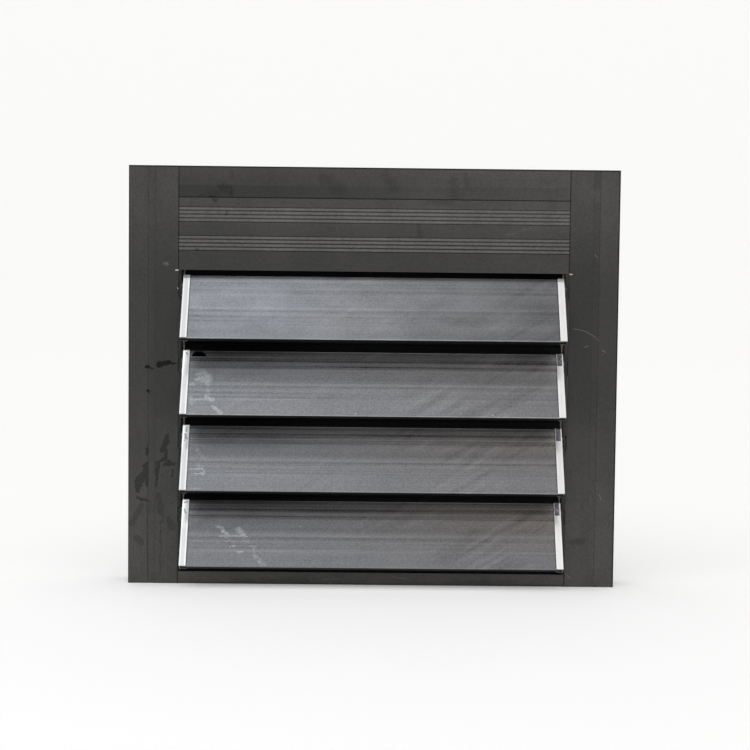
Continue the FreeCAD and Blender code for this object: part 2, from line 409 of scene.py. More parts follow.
def coat(node, lengthwise, marks):
    """Coat a node in dark satin over drawn aluminium; lengthwise is the axis that it was drawn along."""
    given = settings().coat
    f = Finish("satin_coat_" + node)
    along = f.z if lengthwise == "Z" else f.x
    across = f.x if lengthwise == "Z" else f.z
    drawn = f.noise(f.vector(across * 420.0, f.y * 420.0, along * 2.2), detail=2.0)
    cloud = f.noise(f.vector(f.x * 17.0, f.y * 17.0, f.z * 12.0), detail=5.0, roughness=0.65)
    mottle = f.noise(f.point, 190.0, detail=3.0, roughness=0.6)
    grain = f.noise(f.point, 760.0, detail=2.0)
    tone = 1.0 + drawn * 0.07 + cloud * 0.20 + mottle * 0.12 + grain * 0.26
    colour = f.shade(tuple(given.colour), tone)
    rough = given.roughness + cloud * 0.03 + drawn * 0.02
    metal = 0.0
    f.ragged = f.noise(f.vector(f.x * 420.0, f.y * 420.0, f.z * 420.0), detail=4.0, roughness=0.65) * 0.22
    f.place = f.drifted(f.x, f.z, 1.3 * MM, 8.0 * MM)
    for mark in marks(f, given):
        colour = f.blend(colour, f.shade(tuple(mark.tint), tone), mark.mask)
        if mark.dulling:
            rough = rough + mark.mask * mark.dulling
        if mark.film:
            metal = mark.mask * mark.film + metal
    height = grain * 0.6 + drawn * 0.5
    dress(node, f.finished({"Base Color": colour, "Roughness": rough, "Metallic": metal, "IOR": 1.45},
                           height, strength=0.14, distance=0.3 * MM))


def oil_and_shade_mark(given, mask, dulling=0.0):
    """A mark in the oil colour, which shines a little like metal: real oil, and painted shade in joints and
    along arrises.
    """
    return Mark(given.oil_and_shade, mask, dulling, OIL_FILM)


def end_joints(f, node):
    """1 along the thin joints at the two ends of a piece that runs between the stiles."""
    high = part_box(node)[1]
    return f.ease(abs(f.x), high.x - 1.2 * MM, high.x - 0.5 * MM)


def top_arris_shade(f):
    """1 along the arris at the head of the frame, where a line of painted shade goes."""
    return f.ease(f.z, 511.4 * MM, 512.2 * MM)


def front_face(f, node, depth=0.7 * MM):
    """1 on the weather face of a piece and to a depth behind it, 0 further back."""
    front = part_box(node)[0].y + depth
    return f.fall(f.y, front, front + 0.9 * MM)


def bare_spots(f, node, spots):
    """Mask of bare metal on the arris of a stile, by the end of the header."""
    return f.smears((f.x, f.z), spots, f.ragged, 0.3) * front_face(f, node, 4.0 * MM)


def stile_marks(f, given, node, foot_rub, band_shade, rim_start, reveal_light_and_shade):
    """Tones up a stile, with painted shade along its shallow band's edges and its arris, and painted light
    and shade on the reveal behind the blade ends.
    """
    face = front_face(f, node)
    low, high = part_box(node)
    aside = abs(f.x)
    top = f.ease(f.z, 360.0 * MM, 500.0 * MM) * 0.58
    foot = f.fall(f.z, 10.0 * MM, 270.0 * MM) * foot_rub
    outer = f.ease(aside, 272.0 * MM, 274.5 * MM) * 0.13
    yield Mark(given.rubbed, (top + foot + outer) * face)
    inner = f.fall(aside, 266.0 * MM, 269.0 * MM) * f.belt(f.z, 240.0 * MM, 400.0 * MM, 50.0 * MM)
    yield Mark(DARK, inner * face * 0.34)
    # Painted shade along the edges of the shallow band
    band_edge_shade = f.belt(abs(aside - BAND_MIDDLE), 3.7 * MM, 4.5 * MM, 0.35 * MM)
    yield Mark(DARK, band_edge_shade * face * band_shade)
    # Painted shade along the outer arris and the head's arris, in the oil colour
    arris_shade = f.highest([f.ease(aside, rim_start, rim_start + RIM_WIDTH), top_arris_shade(f)])
    yield oil_and_shade_mark(given, arris_shade * JOINT_AND_ARRIS_SHADE)
    # Painted shade on the left reveal behind the blade ends and painted light on the right one, both made
    # duller
    behind = f.belt(f.y, low.y + 1.2 * MM, high.y - 1.0 * MM, 0.4 * MM)
    painted_reveal = f.fall(aside, REVEAL_INNER, REVEAL_INNER + 0.5 * MM) * behind
    yield Mark(reveal_light_and_shade, painted_reveal, dulling=0.45)


def left_stile_marks(f, given):
    """Oily runs low on the stile, a hand's smear at mid height and bare spots by the header."""
    yield from stile_marks(f, given, "left_stile", foot_rub=0.60, band_shade=0.45,
                           rim_start=298.7 * MM, reveal_light_and_shade=LEFT_REVEAL_SHADE)
    face = front_face(f, "left_stile")
    beside_band = face * (1.0 - f.belt(f.x, -275.3 * MM, -268.0 * MM, 0.4 * MM) * 0.8)
    runs = f.smears(f.place, LEFT_STILE_RUNS, f.ragged * 1.5, 0.25)
    yield oil_and_shade_mark(given, runs * beside_band * 0.52, WET)
    dried = f.smears(f.place, LEFT_STILE_DRIED_RUNS, f.ragged, 0.2)
    yield oil_and_shade_mark(given, dried * beside_band * 0.26)
    handprint = f.smears(f.place, LEFT_STILE_HANDPRINT, f.ragged * 2.0, 0.2)
    yield oil_and_shade_mark(given, handprint * face * 0.95, WET)
    dust = f.smears(f.place, LEFT_STILE_DUST, f.ragged * 2.0, 0.95)
    yield Mark(DUST, dust * face * 0.5, dulling=0.1)
    yield Mark(BARE_METAL, bare_spots(f, "left_stile", LEFT_BARE_SPOTS) * 0.9, film=BARE_FILM)


def right_stile_marks(f, given):
    """A long curved scratch, a few short ones, a dull rub low down and a bare spot by the header."""
    yield from stile_marks(f, given, "right_stile", foot_rub=0.78, band_shade=0.28,
                           rim_start=297.9 * MM, reveal_light_and_shade=RIGHT_REVEAL_LIGHT)
    face = front_face(f, "right_stile")
    band = f.belt(f.x, 267.9 * MM, 275.5 * MM, 0.5 * MM) * f.ease(f.z, 200.0 * MM, 400.0 * MM)
    yield Mark(DARK, band * face * 0.22)
    scratches = f.smears((f.x, f.z), RIGHT_STILE_SCRATCHES, f.ragged * 2.0, 0.6)
    yield Mark(SCRATCH, scratches * face * 0.50)
    rub = f.smears(f.place, RIGHT_STILE_RUB, f.ragged * 2.0, 0.9)
    yield oil_and_shade_mark(given, rub * face * 0.3)
    dust = f.smears(f.place, RIGHT_STILE_DUST, f.ragged, 0.9)
    yield Mark(DUST, dust * face * 0.12, dulling=0.1)
    yield Mark(BARE_METAL, bare_spots(f, "right_stile", RIGHT_BARE_SPOTS) * 0.8, film=BARE_FILM)


def top_rail_marks(f, given):
    """Finger smudges along the top rail, which is lighter along its upper half and to the right, with painted
    shade in its seams and along its top arris.
    """
    face = front_face(f, "top_rail")
    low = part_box("top_rail")[0]
    upper = f.ease(f.z, 489.3 * MM, 491.3 * MM)
    right = f.ease(f.x, -120.0 * MM, 240.0 * MM)
    head = f.ease(f.z, 496.0 * MM, 512.0 * MM)
    yield Mark(given.rubbed, upper * face * (0.20 + 0.60 * right + 0.18 * head))
    yield Mark(given.rubbed, (1.0 - upper) * face * right * 0.62)
    left = f.fall(f.x, -180.0 * MM, 60.0 * MM)
    yield Mark(DARK, (1.0 - upper) * face * left * 0.34)
    # Painted shade in the seam under the rail
    seam = f.fall(f.z, low.z + 0.6 * MM, low.z + 1.8 * MM)
    yield oil_and_shade_mark(given, seam * face * JOINT_AND_ARRIS_SHADE)
    # Painted shade along the top arris and in the end joints
    rim = f.highest([top_arris_shade(f), end_joints(f, "top_rail")])
    yield oil_and_shade_mark(given, rim * JOINT_AND_ARRIS_SHADE)
    daubed = f.drifted(f.x, f.z, 1.6 * MM, 5.0 * MM)
    smudges = f.smears(daubed, RAIL_SMUDGES, f.ragged * 2.5, 0.8)
    yield oil_and_shade_mark(given, smudges * face * 0.36)
    blots = f.smears(daubed, RAIL_BLOTS, f.ragged * 2.0, 0.9)
    yield oil_and_shade_mark(given, blots * face * 0.20)


def board_marks(f, given):
    """Painted highlight on the rib crests, lighter plain bands towards the top and right, small smudges, and
    painted shade in the end joints.
    """
    face = front_face(f, "ribbed_board")
    low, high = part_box("ribbed_board")
    right = f.ease(f.x, 20.0 * MM, 240.0 * MM)
    higher = f.ease(f.z, 405.0 * MM, 466.0 * MM)
    yield Mark(given.rubbed, face * (0.10 + 0.42 * higher + 0.28 * right))
    ribs = f.belt(f.z, high.z - 29.5 * MM, high.z - 11.1 * MM, 0.1 * MM)
    ribs = ribs + f.belt(f.z, high.z - 64.5 * MM, high.z - 46.1 * MM, 0.1 * MM)
    # Painted highlight along the crests of the ribs
    crest_highlight = f.fall(f.y, low.y + 0.05 * MM, low.y + 0.60 * MM) * ribs
    chatter = f.noise(f.vector(f.x * 300.0, 0.0, f.z * 900.0), detail=3.0)
    yield Mark(RIB_CREST_HIGHLIGHT, crest_highlight * (0.80 + chatter * 0.16))
    smudges = f.smears(f.place, BOARD_SMUDGES, f.ragged * 2.0, 0.6)
    yield oil_and_shade_mark(given, smudges * face * 0.40)
    blots = f.smears(f.place, BOARD_BLOTS, f.ragged * 2.0, 0.9)
    yield oil_and_shade_mark(given, blots * face * 0.22)
    # Painted shade in the end joints
    yield oil_and_shade_mark(given, end_joints(f, "ribbed_board") * JOINT_AND_ARRIS_SHADE)
    wipe = f.smears(f.place, BOARD_WIPE, f.ragged, 0.6)
    yield Mark(given.rubbed, wipe * face * 0.6)


def sill_marks(f, given):
    """Worn ends, painted shade along the lower arris and in the end joints, faint scratches and damp patches
    on the sill's lip.
    """
    face = front_face(f, "sill")
    worn = f.noise(f.vector(f.x * 40.0, 1.0, f.z * 160.0), detail=3.0)
    ends = f.ease(abs(f.x), 60.0 * MM, 240.0 * MM)
    yield Mark(given.rubbed, (0.42 + ends * 0.40 + worn * 0.16) * face)
    # Painted shade along the lower arris
    yield Mark(DARK, face * f.fall(f.z, 1.0 * MM, 4.0 * MM) * 0.5)
    # Painted shade in the end joints
    yield oil_and_shade_mark(given, end_joints(f, "sill") * JOINT_AND_ARRIS_SHADE)
    scratches = f.smears(f.place, SILL_SCRATCHES, f.ragged, 0.5)
    yield Mark(SCRATCH, scratches * face * 0.3)
    damp = f.smears(f.place, SILL_DAMP, f.ragged * 2.0, 0.6)
    yield oil_and_shade_mark(given, damp * face * 0.2)


class CoatStiles(bpy.types.Operator):
    """Coat the two stiles"""
    bl_idname = "louvre_window.coat_stiles"
    bl_label = "Coat the Stiles"

    def execute(self, context):
        coat("left_stile", "Z", left_stile_marks)
        coat("right_stile", "Z", right_stile_marks)
        return {"FINISHED"}


class CoatHeader(bpy.types.Operator):
    """Coat the top rail and the ribbed board under it"""
    bl_idname = "louvre_window.coat_header"
    bl_label = "Coat the Header"

    def execute(self, context):
        coat("top_rail", "X", top_rail_marks)
        coat("ribbed_board", "X", board_marks)
        return {"FINISHED"}


class CoatSill(bpy.types.Operator):
    """Coat the sill tray"""
    bl_idname = "louvre_window.coat_sill"
    bl_label = "Coat the Sill"

    def execute(self, context):
        coat("sill", "X", sill_marks)
        return {"FINISHED"}


# Finish of the blades, with marks as (x, height up the chord, half width) at both ends, in millimetres

CHALK = {
    2: [(-216, 11, 1.2, -208, 12, 4.0), (-208, 13, 4.5, -203, 5, 6.5), (-218, 4, 1.5, -206, 5, 5.0),
        (-203, 4, 5.0, -201, -3, 2.5), (-222, -3, 1.8, -219, -3, 1.5), (-203, -19, 2.5, -195, -24, 2.5),
        (-221, -24, 0.9, -194, -24, 1.1), (-193, -33, 2.0, -184, -42, 2.8)],
    3: [(-224, -15, 0.8, -207, -15, 1.8), (-216, -21, 0.8, -205, -21, 1.4), (-206, -18, 1.0, -204, -20, 1.2)],
    4: [(-190, 9, 1.6, -184, 7, 1.8), (-182, 3, 2.4, -176, -3, 2.6), (-163, 5, 3.0, -157, -2, 3.4),
        (-186, -4, 0.9, -152, -4, 1.0), (-172, -17, 0.8, -167, -17, 1.1), (-164, -24, 0.8, -158, -25, 1.1)]}
CHALK_WISPS = {
    2: [(-201, -11, 3.0, -200, -15, 2.5), (-222, -20, 2.0, -219, -29, 2.2), (-221, -42, 1.4, -216, -42, 1.0)],
    3: [(-220, -42, 1.4, -208, -41, 1.0), (-215, 11, 1.6, -205, -2, 1.6), (-212, -11, 2.0, -205, -12, 1.5)],
    4: [(-178, -10, 1.0, -168, -11, 1.3), (-157, -11, 2.0, -150, -11, 1.5), (-150, -17, 1.0, -140, -18, 1.2),
        (-144, -20, 1.0, -143, -26, 1.0), (-142, -29, 1.8, -131, -42, 2.8)]}
# A black patch at the top left of blade 2
BLACK_PATCH = {2: [(-222, 37, 1.2, -206, 37, 1.2), (-220, 39, 2.0, -208, 39, 2.0), (-218, 42, 1.8, -211, 42, 1.8)]}
UPPER_DIE_LINES = [
    (38.0, 2.0, 0.24), (31.5, 2.0, -0.28), (26.2, 1.5, 0.16), (21.4, 1.4, -0.20), (17.2, 1.3, 0.08)]
MIDDLE_DIE_LINES = [(4.5, 3.0, -0.05), (-2.0, 1.6, 0.14), (-6.0, 1.5, -0.15)]
LOWER_DIE_LINES = [
    (-10.8, 1.1, 0.11), (-14.2, 1.1, -0.10), (-17.0, 0.9, 0.06), (-19.6, 0.9, -0.10), (-23.6, 1.2, 0.10)]
SPECKS = {
    1: [(-196, 30, 0.35, -195.8, 30, 0.35)],
    2: [(145, -41, 0.7, 145.3, -41, 0.5), (-21, -41, 0.7, -20.6, -41, 0.5)],
    3: [(107, -2, 0.45, 107.2, -2, 0.4)],
    4: [(-88, 10, 0.5, -87.8, 10, 0.5), (-41, 41, 0.4, -40.8, 41, 0.4)]}

# By blade from the top: cool cast on the left, brown cast on the right, painted highlight of the lower edge,
# and gain of painted light and shade
COOL_LEFT = {1: 0.9, 2: 0.35, 3: 0.3, 4: 0.15}
BROWN_RIGHT = {1: 0.0, 2: 0.35, 3: 0.65, 4: 0.9}
LOWER_EDGE_HIGHLIGHT = {1: 0.8, 2: 0.7, 3: 0.45, 4: 0.3}
LOWER_BLADE_GAIN = {2: 1.05, 3: 0.99, 4: 0.91}

COOL_TINT = (0.234, 0.240, 0.257)
BROWN_TINT = (0.212, 0.192, 0.182)
HIGHLIGHT_TINT = (0.46, 0.47, 0.47)
BACK_TINT = (0.13, 0.13, 0.13)
BLACK_PATCH_TINT = (0.004, 0.004, 0.004, 1.0)
SPECK_TINT = (0.8, 0.8, 0.78, 1.0)
RUB_LEAN = math.radians(33.0)
SEED_STEP = 3.7


def blade_coordinates(f, number):
    """Height up the chord of a blade from its middle, and distance out to its weather side."""
    child = "louvre_%d" % number
    pivot = next(Vector(joint["pos_m"]) for joint in frame["joints"] if joint["child"] == child)
    cosine = math.cos(math.radians(REST_TILT))
    sine = math.sin(math.radians(REST_TILT))
    y = f.y - (pivot.y - cosine * MIDDLE_DOWN - sine * MIDDLE_OUT)
    z = f.z - (pivot.z - sine * MIDDLE_DOWN + cosine * MIDDLE_OUT)
    return y * cosine + z * sine, z * cosine - y * sine


def scores(f, up, lines):
    """Sum of soft lines along a blade, each (height, half width, depth)."""
    found = 0.0
    for height, half, depth in lines:
        found = f.fall(abs(up - height * MM), 0.0, half * 2.0 * MM) * depth + found
    return found


def die_lines(f, number, up, upper, lower):
    """Lines along two belts of the section, which the same die drew on all the blades, and their relief."""
    top = number == 1
    wander = f.noise(f.vector(f.x * 5.0 + f.seed, 3.0, 0.0), detail=3.0)
    wandered = up + wander * (0.6 * MM)
    fading = 1.0 - f.ease(f.x, -170.0 * MM, 40.0 * MM) * 0.65
    scored = scores(f, wandered, UPPER_DIE_LINES) * (0.4 if top else 1.0)
    scored = scored + scores(f, wandered, MIDDLE_DIE_LINES) * (0.6 if top else 1.0)
    scored = scored + scores(f, wandered, LOWER_DIE_LINES) * fading * (1.4 if top else 1.1)
    scored = scored * (1.0 + wander * 0.25)
    lines = f.noise(f.vector(f.x * 0.9 + f.seed, 2.0, up * 470.0), detail=2.0)
    hair = f.noise(f.vector(f.x * 4.0 + f.seed, 9.0, up * 820.0), detail=2.0)
    broad = f.noise(f.vector(f.x * 1.2 + f.seed, 5.0, up * 150.0), detail=2.0)
    drawn = lines * (0.03 + (0.10 if top else 0.36) * upper + 0.08 * lower)
    drawn = drawn + hair * (0.07 + (0.05 if top else 0.15) * upper + 0.06 * lower)
    drawn = drawn + broad * (0.02 + 0.05 * upper)
    return drawn + scored, lines * 0.8 + hair * 0.4


def leaning_rubs(f, up):
    """Patches of rubs that lean across a blade."""
    along = f.x * math.cos(RUB_LEAN) + up * math.sin(RUB_LEAN)
    across = up * math.cos(RUB_LEAN) - f.x * math.sin(RUB_LEAN)
    rubs = f.noise(f.vector(along * 10.0 + f.seed, f.seed, across * 115.0), detail=4.0)
    patches = f.noise(f.vector(f.x * 11.0 + f.seed, 1.0, up * 20.0), detail=2.0)
    return rubs * f.ease(patches, -0.5, 0.8)


def painted_light_gain(f, number, up, upper, lower):
    """Painted light and shade on each part of the section, as the lower blades mirror the blade above at
    their tops.
    """
    if number == 1:
        # The top blade: painted highlight at its crown, painted shade at its foot and towards the right
        crown_highlight = f.ease(up, 27.0 * MM, 37.0 * MM) * 0.26
        foot = f.fall(up, -40.0 * MM, -22.0 * MM)
        gain = 1.08 - upper * 0.08 + crown_highlight - lower * 0.07 - foot * 0.16
        return gain * (1.015 - f.ease(f.x, 20.0 * MM, 220.0 * MM) * 0.25)
    # The lower blades: painted light below the top, and painted shade at the top where the blade above is
    # mirrored
    inward = 0.30 * f.ease(f.x, -160.0 * MM, -20.0 * MM)
    painted_lift = f.ease(up, 4.0 * MM, 22.0 * MM) * (0.40 + inward)
    painted_lift = painted_lift - f.ease(up, 34.0 * MM, 42.0 * MM) * (0.85 - inward)
    return (1.0 + painted_lift) * LOWER_BLADE_GAIN[number]


def splashed(f, number, up, ragged):
    """Mask of a blade's dried splashes, thick and thin."""
    place = f.drifted(f.x, up, 1.3 * MM, 5.0 * MM)
    wiped = f.noise(f.vector((f.x + up) * 170.0, f.seed, (up - f.x) * 420.0), detail=3.0, roughness=0.6)
    thin = f.smears(place, CHALK_WISPS[number], ragged, 0.8) * f.ease(wiped, -0.8, 0.9)
    thick = f.smears(place, CHALK[number], ragged, 0.5) * (0.25 + 0.75 * f.ease(wiped, -0.9, 0.9))
    return f.highest([thick * 0.62, thin * 0.30])


def anodised(number):
    """Dark anodised blade: die lines along it, rubs across it, dried splashes, and painted light and shade on
    its section, edges and lap.
    """
    given = settings().blades
    f = Finish("anodised_blade_%d" % number)
    f.seed = number * SEED_STEP
    up, out = blade_coordinates(f, number)
    top = number == 1
    face = f.ease(out, 3.0 * MM, 3.7 * MM)
    upper = f.ease(up, 18.5 * MM, 23.5 * MM)
    lower = f.belt(up, -25.5 * MM, -3.0 * MM, 1.2 * MM)
    lines, relief = die_lines(f, number, up, upper, lower)
    rubs = leaning_rubs(f, up)
    rubbing = 0.10 + f.ease(f.x, -60.0 * MM, 140.0 * MM) * (0.05 if top else 0.17)
    cloud = f.noise(f.vector(f.x * 12.0, f.seed, up * 26.0), detail=4.0, roughness=0.6)
    grain = f.noise(f.vector(f.x * 380.0, out * 800.0, up * 640.0), detail=2.0)
    tone = 1.0 + lines + rubs * rubbing
    tone = tone + cloud * (0.19 if top else 0.07) + grain * (0.15 if top else 0.18)
    tone = tone * painted_light_gain(f, number, up, upper, lower)

    colour = f.shade(tuple(given.colour), tone)
    cool = f.fall(f.x, -240.0 * MM, 100.0 * MM) * COOL_LEFT[number]
    colour = f.blend(colour, f.shade(COOL_TINT, tone), cool)
    brown = f.ease(f.x, -120.0 * MM, 200.0 * MM) * f.ease(up, -50.0 * MM, 30.0 * MM) * BROWN_RIGHT[number]
    colour = f.blend(colour, f.shade(BROWN_TINT, tone), brown)
    rough = given.roughness + cloud * 0.02 + rubs * 0.03

    ragged = f.noise(f.vector(f.x * 400.0, f.seed, up * 400.0), detail=4.0, roughness=0.7) * 0.45
    if number in CHALK:
        chalk = splashed(f, number, up, ragged) * face
        colour = f.blend(colour, tuple(given.chalk) + (1.0,), chalk)
        rough = rough + chalk * 0.25
    if number in BLACK_PATCH:
        colour = f.blend(colour, BLACK_PATCH_TINT, f.smears((f.x, up), BLACK_PATCH[number], 0.0, 0.12) * face)
    specks = f.smears((f.x, up), SPECKS[number], ragged, 0.3)
    colour = f.blend(colour, SPECK_TINT, specks * face * 0.6)
    # Painted shade on the blade beside each clip's lip
    edge_shade = f.shade(tuple(given.edge_shade), tone)
    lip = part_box("right_clip_%d" % number)[0].x
    joint = f.ease(abs(f.x), lip - 1.6 * MM, lip - 0.9 * MM) * face
    colour = f.blend(colour, edge_shade, joint * 0.42)

    # Painted highlights along the lower edge and the top bead
    edge_highlight = f.fall(up, -43.6 * MM, -42.8 * MM) * f.ease(out, 2.2 * MM, 3.2 * MM) * LOWER_EDGE_HIGHLIGHT[number]
    bead_highlight = f.ease(up, 42.0 * MM, 42.8 * MM) * f.ease(out, 1.6 * MM, 2.6 * MM) * 0.2
    colour = f.blend(colour, f.shade(HIGHLIGHT_TINT, tone), f.highest([edge_highlight, bead_highlight]))
    back = f.fall(out, -3.8 * MM, -3.4 * MM)
    colour = f.blend(colour, f.shade(BACK_TINT, tone), back)
    # Painted shade on the face of the lower edge and on the lap flange above the top
    edge = f.fall(up, -43.4 * MM, -43.0 * MM) * f.fall(out, 1.8 * MM, 2.8 * MM)
    shaded_edges = f.highest([edge, f.ease(up, 43.8 * MM, 44.2 * MM)])
    colour = f.blend(colour, edge_shade, shaded_edges)
    rough = rough + shaded_edges * 0.18
    return f.finished({"Base Color": colour, "Roughness": rough, "Metallic": 1.0},
                      relief, strength=0.10, distance=0.2 * MM)


class FinishBlades(bpy.types.Operator):
    """Anodise the louvre blades, and splash them with dried chalk"""
    bl_idname = "louvre_window.finish_blades"
    bl_label = "Finish the Blades"

    def execute(self, context):
        for number in BLADES:
            dress("blade_%d" % number, anodised(number))
        return {"FINISHED"}


# Finishes of the clips and bushes

# Painted reflections of the blade above on the tops of the left clips, and a painted glint on the right clip
# of blade 4
CLIP_REFLECTIONS = {
    2: [(-230, 41, 0.8, -228, 38, 1.1)],
    3: [(-229, 41, 1.0, -229, 35, 1.1), (-230, 31, 1.7, -229, 26, 2.2), (-231, 23, 0.8, -230, 22, 0.8)],
    4: [(-231, 40, 1.2, -228, 41, 1.2), (-231, 31, 0.9, -229, 26, 1.1), (227, 35, 2.0, 231, 34, 1.7)]}
# Brightness by clip, painted light and shade
CLIP_GAIN = {1: 1.0, 2: 1.03, 3: 1.0, 4: 1.09}
CLIP_MIDDLE = 229.65 * MM

DULLED = (0.42, 0.41, 0.39, 1.0)
# Tints of the painted reflections of the blade above on the clip tops
REFLECTION_TINT = (0.165, 0.170, 0.205, 1.0)
DEEP_REFLECTION_TINT = (0.025, 0.027, 0.045, 1.0)
REFLECTION_MARK_TINT = (0.30, 0.32, 0.40, 1.0)
UNLIT_CLIP = (0.07, 0.073, 0.082)
WORN_BUSH = (0.07, 0.068, 0.062, 1.0)


def painted_reflections(f, number, colour, up, out, aside, right):
    """Colour of a clip under a blade: a painted reflection of the blade above as a dark block at the top of
    the right one, and small painted reflections and a glint.
    """
    front = f.ease(out, 0.0, 2.0 * MM)
    block = f.ease(up, 26.8 * MM, 27.6 * MM) * front * f.belt(aside, -3.4 * MM, 2.5 * MM, 0.4 * MM) * right
    flecked = f.ease(f.noise(f.vector(f.x * 420.0, number * 3.0, up * 260.0), detail=3.0), -0.4, 0.7)
    skirt = f.fall(up, 28.0 * MM, 30.0 * MM)
    colour = f.blend(colour, REFLECTION_TINT, block * 0.92)
    colour = f.blend(colour, DEEP_REFLECTION_TINT, block * f.highest([flecked * 0.8, skirt * 0.7]))
    # Small painted reflections and a painted glint
    reflected_marks = f.smears((f.x, up), CLIP_REFLECTIONS[number], flecked * 0.4, 0.6) * front
    return f.blend(colour, REFLECTION_MARK_TINT, reflected_marks * 0.9)


def polished(number):
    """Polished clip metal with fine rubbing along it, painted highlights and shade, and painted reflections
    where the blade above covers it.
    """
    given = settings().hardware
    f = Finish("polished_clip_%d" % number)
    up, out = blade_coordinates(f, number)
    under_blade = number > 1
    rubbed = f.noise(f.vector(f.x * 2400.0, out * 2400.0, up * 40.0), detail=2.0)
    cloud = f.noise(f.vector(f.x * 160.0, out * 160.0, up * 60.0 + number * 5.0), detail=3.0)
    dull = f.ease(f.noise(f.point, 420.0, detail=3.0, roughness=0.7), 1.2, 1.8)
    aside = abs(f.x) - CLIP_MIDDLE
    # Painted highlight on the clip's rims; the left clips are painted darker, and lighter towards their tops
    # under a blade
    rim = f.ease(abs(aside), 1.9 * MM, 3.0 * MM)
    right = f.ease(f.x, -50.0 * MM, 50.0 * MM)
    painted_lift = f.ease(up, 0.0, 32.0 * MM) * (0.65 if under_blade else 0.0)
    left_tone = (0.66 + 0.22 * rim) * (1.0 + painted_lift) * (1.0 - right)
    right_tone = (0.98 + 0.08 * rim) * right
    tone = (1.0 + rubbed * 0.05 + cloud * 0.03) * (left_tone + right_tone) * CLIP_GAIN[number]
    colour = f.blend(f.shade(tuple(given.clip), tone), DULLED, dull * 0.15)
    if under_blade:
        colour = painted_reflections(f, number, colour, up, out, aside, right)
    hidden = f.highest([f.fall(out, -4.6 * MM, -4.0 * MM), f.fall(up, -44.3 * MM, -43.7 * MM)])
    colour = f.blend(colour, f.shade(UNLIT_CLIP, tone), hidden)
    rough = 0.17 + rubbed * 0.02 + cloud * 0.02 + dull * 0.15
    return f.finished({"Base Color": colour, "Roughness": rough, "Metallic": 0.45},
                      rubbed, strength=0.06, distance=0.1 * MM)


def moulded():
    """Black moulded bush with a fine spark-eroded skin."""
    given = settings().hardware
    f = Finish("moulded_bush")
    skin = f.noise(f.point, 2200.0, detail=2.0)
    cloud = f.noise(f.point, 130.0, detail=3.0)
    colour = f.shade(tuple(given.bush), 1.0 + skin * 0.12 + cloud * 0.2)
    colour = f.blend(colour, WORN_BUSH, f.ease(cloud, 0.6, 1.8) * 0.3)
    return f.finished({"Base Color": colour, "Roughness": 0.52 + cloud * 0.06},
                      skin, strength=0.2, distance=0.2 * MM)


class FinishClips(bpy.types.Operator):
    """Polish the end clips"""
    bl_idname = "louvre_window.finish_clips"
    bl_label = "Finish the Clips"

    def execute(self, context):
        for number in BLADES:
            material = polished(number)
            for side in SIDES:
                dress("%s_clip_%d" % (side, number), material)
        return {"FINISHED"}


class FinishBushes(bpy.types.Operator):
    """Give the pivot bushes their moulded skin"""
    bl_idname = "louvre_window.finish_bushes"
    bl_label = "Finish the Bushes"

    def execute(self, context):
        material = moulded()
        for number in BLADES:
            for side in SIDES:
                dress("%s_bush_%d" % (side, number), material)
        return {"FINISHED"}


# Pile strips behind the blade ends

PILE_DIRT = (0.06, 0.055, 0.045, 1.0)
PILE_STEPS = 72
PILE_SIDES = 12
PILE_SWAY = 0.11 * MM


def pile():
    """Beige woven pile, dusty, with its fibres across the strip."""
    given = settings().hardware
    f = Finish("beige_pile")
    fibres = f.noise(f.vector(f.x * 300.0, f.y * 300.0, f.z * 2600.0), detail=3.0, roughness=0.7)
    dirt = f.noise(f.point, 90.0, detail=4.0)
    colour = f.shade(tuple(given.pile), 1.0 + fibres * 0.25)
    colour = f.blend(colour, PILE_DIRT, f.ease(dirt, 0.0, 1.4) * 0.6)
    return f.finished({"Base Color": colour, "Roughness": 0.92 + fibres * 0.05, "Specular IOR Level": 0.2},
                      fibres, strength=0.6, distance=0.6 * MM)


def pile_swell(step):
    """How thick the brush is at a step, about 1."""
    return 1.0 + 0.10 * math.sin(step * 2.17) + 0.06 * math.sin(step * 3.9)


def pile_strip_mesh(middle, depth, foot, head, width):
    """Uneven brush of pile that stands up the jamb from foot to head."""
    bm = bmesh.new()
    rise = Vector((0.0, 0.0, (head - foot) / PILE_STEPS))
    section = Matrix.Translation((middle, depth, foot)) @ Matrix.Diagonal((width / 2, width * 0.6, 1.0, 1.0))
    made = bmesh.ops.create_circle(bm, cap_ends=True, segments=PILE_SIDES, radius=1.0, matrix=section)
    end = made["verts"][0].link_faces[0]
    for step in range(PILE_STEPS):
        grown = bmesh.ops.extrude_face_region(bm, geom=[end])["geom"]
        end = among(grown, bmesh.types.BMFace)[0]
        ring = list(end.verts)
        sway = Vector((math.sin(step * 1.31) + math.sin(step * 0.47), math.sin(step * 0.83), 0.0))
        bmesh.ops.translate(bm, verts=ring, vec=sway * PILE_SWAY + rise)
        swell = pile_swell(step) / pile_swell(step - 1) if step else pile_swell(step)
        centre = end.calc_center_median()
        bmesh.ops.scale(bm, verts=ring, vec=(swell, swell, 1.0), space=Matrix.Translation(-centre))
    bmesh.ops.recalc_face_normals(bm, faces=bm.faces[:])
    for face in bm.faces:
        face.smooth = True
    return bm


class AddPileStrips(bpy.types.Operator):
    """Set a strip of pile up each jamb, in front of the fin behind the blade ends"""
    bl_idname = "louvre_window.add_pile_strips"
    bl_label = "Add the Pile Strips"

    def execute(self, context):
        width = settings().hardware.pile_width
        material = pile()
        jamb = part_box("top_rail")[1].x
        fin_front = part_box("left_stile")[1].y - 2.0 * MM
        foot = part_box("sill")[1].z + 1.0 * MM
        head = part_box("ribbed_board")[0].z - 0.5 * MM
        for side, sign in SIDES.items():
            bm = pile_strip_mesh(sign * (jamb - 2.0 * MM), fin_front - width * 0.55, foot, head, width)
            add_piece("%s_pile_strip" % side, bm, material)
        return {"FINISHED"}


# Frame screws

